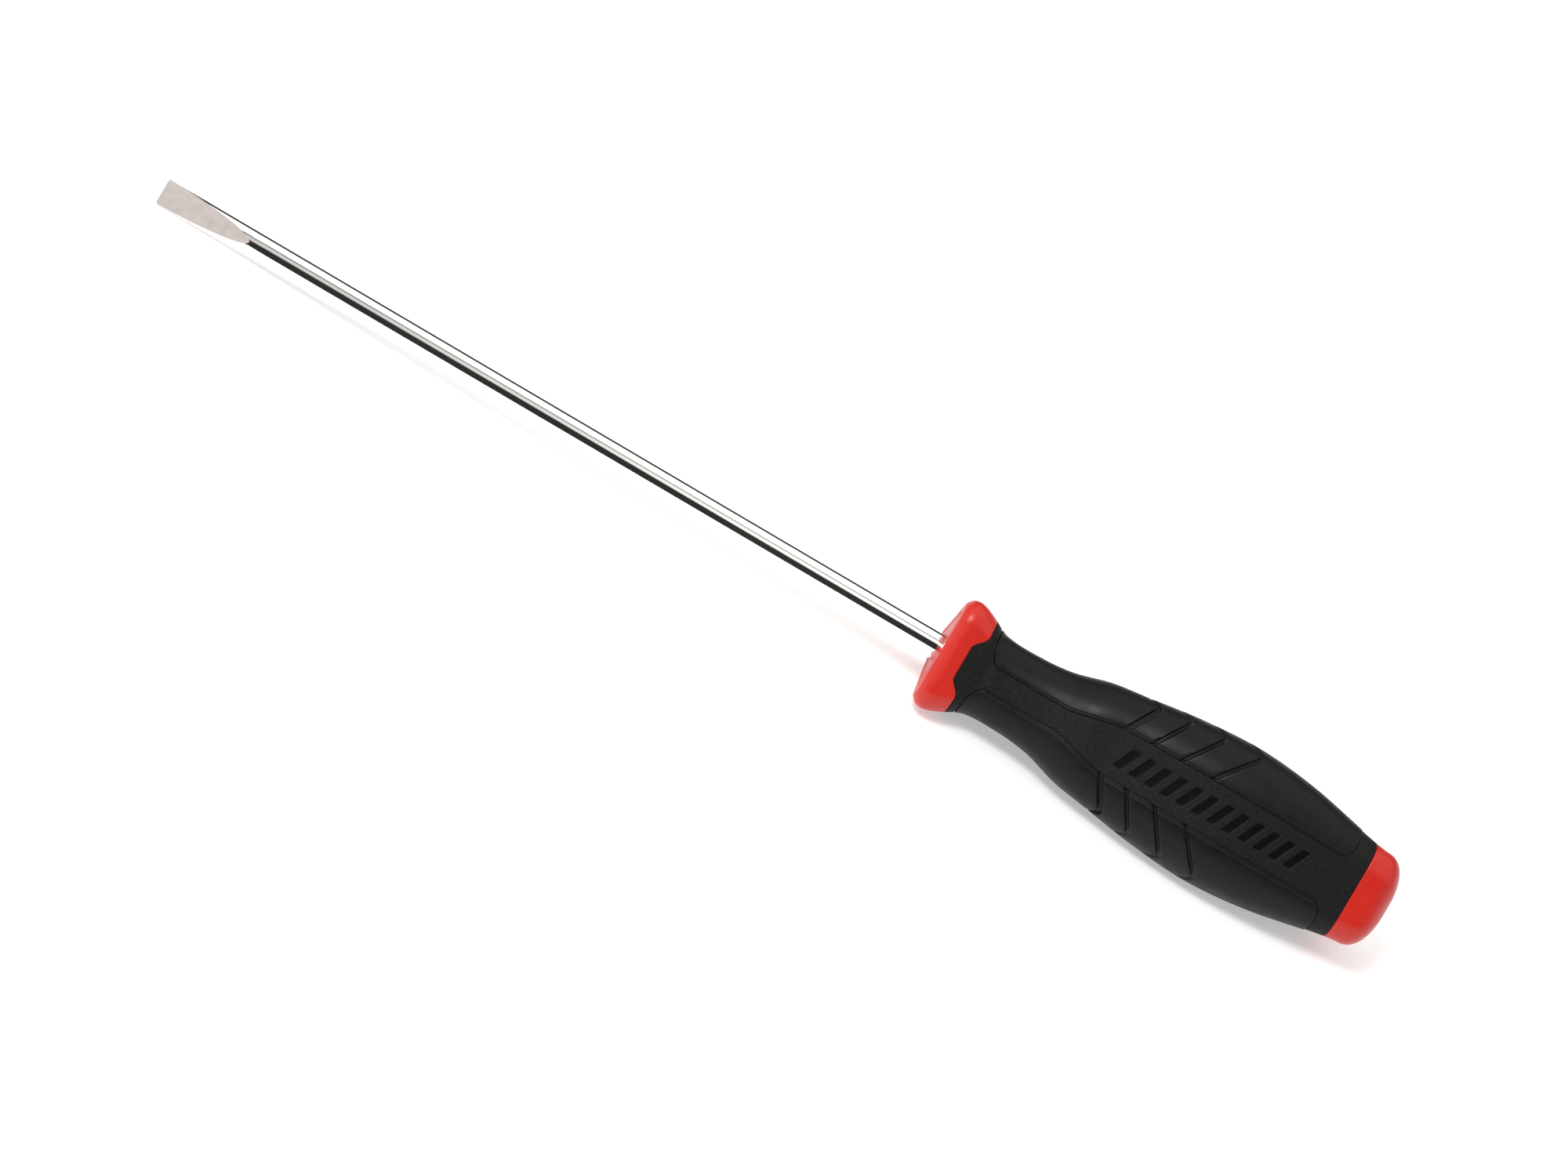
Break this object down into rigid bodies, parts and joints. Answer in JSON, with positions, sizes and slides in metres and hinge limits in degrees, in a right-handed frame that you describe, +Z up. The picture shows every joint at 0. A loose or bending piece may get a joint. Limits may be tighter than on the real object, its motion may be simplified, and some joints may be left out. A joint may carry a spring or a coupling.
{
  "type": "slotted screwdriver",
  "caption": "Fixed-blade screwdriver: flat slotted tip, long round chrome shank, hard flanged front collar, soft tri-lobe grip with raised pads and a domed end cap.",
  "frame": {"origin": "centre of the flat end face of the tip", "axes": "+X out of the tip along the tool's axis, +Z up with one flat of the handle facing straight down; the blade's wide flats are parallel to the handle flat that faces +Y and up"},
  "size_m": [0.3214, 0.0344, 0.033],
  "materials": {
    "chrome": "bright chrome plate on the shank, satin on the ground tip",
    "red_plastic": "semi-gloss moulded",
    "core_plastic": "moulded, hidden",
    "black_grip": "matte, finely speckled soft moulding",
    "black_pad": "smoother satin soft moulding"
  },
  "bodies": {
    "root": {"blade": "chrome", "front_collar": "red_plastic", "handle_core": "core_plastic", "grip_body": "black_grip", "neck_pad_1": "black_pad", "neck_pad_2": "black_pad", "neck_pad_3": "black_pad", "palm_pad_1": "black_pad", "palm_pad_2": "black_pad", "palm_pad_3": "black_pad", "end_cap": "red_plastic"}
  },
  "joints": []
}
